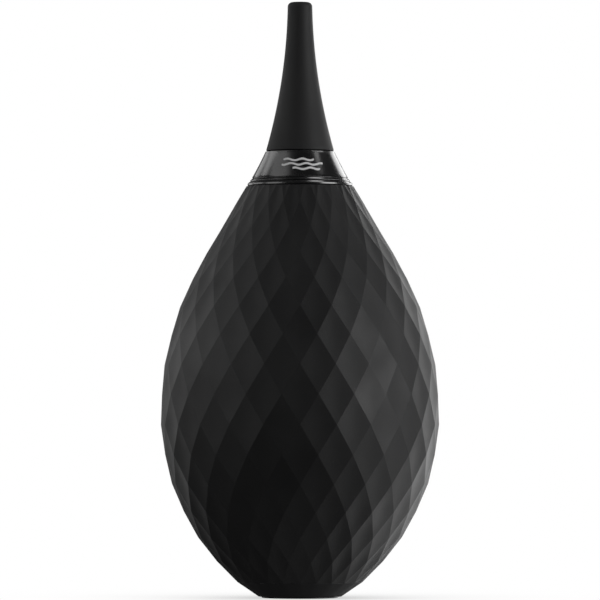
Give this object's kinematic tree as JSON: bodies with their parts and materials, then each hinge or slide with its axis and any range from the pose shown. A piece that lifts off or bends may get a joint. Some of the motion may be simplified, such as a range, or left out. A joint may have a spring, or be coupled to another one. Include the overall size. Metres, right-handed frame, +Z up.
{
  "type": "dust blower bulb",
  "caption": "Hand-squeezed faceted silicone bulb that stands on a small foot and blows a jet of filtered air through a soft, flared, pull-off nozzle.",
  "frame": {"origin": "centre of the foot's flat underside, which the blower stands on", "axes": "+Z up the blower's own axis, from the foot to the nozzle tip; +X and +Y across it, with a row of diamond corners facing -Y"},
  "size_m": [0.0798, 0.0798, 0.171],
  "materials": {
    "silicone_black": "matte silicone rubber",
    "soft_nozzle": "matte silicone rubber",
    "gloss_black": "polished black",
    "black_nylon": "moulded nylon",
    "cap_black": "moulded, fine texture",
    "cage_white": "moulded acetal",
    "valve_rubber": "red silicone rubber",
    "seal_rubber": "nitrile rubber, satin",
    "filter_foam": "open-cell foam",
    "steel_screen": "etched stainless sheet"
  },
  "bodies": {
    "root": {"bulb": "silicone_black", "base_housing": "black_nylon", "inlet_valve_cage": "cage_white"},
    "head": {"neck_insert": "black_nylon", "collar": "gloss_black", "collar_ring": "gloss_black", "outlet_valve_cage": "cage_white"},
    "nozzle": {"nozzle_sleeve": "soft_nozzle", "nozzle_core": "black_nylon", "nozzle_oring": "seal_rubber"},
    "outlet_valve": {"outlet_valve_disc": "valve_rubber"},
    "inlet_valve": {"inlet_valve_disc": "valve_rubber"},
    "filter_pack": {"filter_disc": "filter_foam", "filter_screen": "steel_screen"},
    "cap": {"filter_cap": "cap_black", "cap_seal": "seal_rubber"}
  },
  "joints": [
    {"name": "bulb_squeeze", "type": "slide", "parent": "root", "child": "head", "axis": [0, 0, -1], "range_m": [0, 0.022], "stiffness_N_per_m": 1600, "deforming": ["bulb"]},
    {"name": "nozzle_pull", "type": "slide", "parent": "head", "child": "nozzle", "axis": [0, 0, 1], "range_m": [0, 0.012]},
    {"name": "outlet_valve_lift", "type": "slide", "parent": "head", "child": "outlet_valve", "axis": [0, 0, 1], "range_m": [0, 0.0015]},
    {"name": "inlet_valve_lift", "type": "slide", "parent": "root", "child": "inlet_valve", "axis": [0, 0, 1], "range_m": [0, 0.0012]},
    {"name": "filter_drop", "type": "slide", "parent": "root", "child": "filter_pack", "axis": [0, 0, -1], "range_m": [0, 0.0048]},
    {"name": "cap_turn", "type": "hinge", "parent": "filter_pack", "child": "cap", "pos_m": [0, 0, 0.0025], "axis": [0, 0, -1], "range_deg": [0, 360]}
  ],
  "couplings": [
    {"joint": "cap_turn", "follows": "filter_drop", "rad_per_m": 1309}
  ]
}
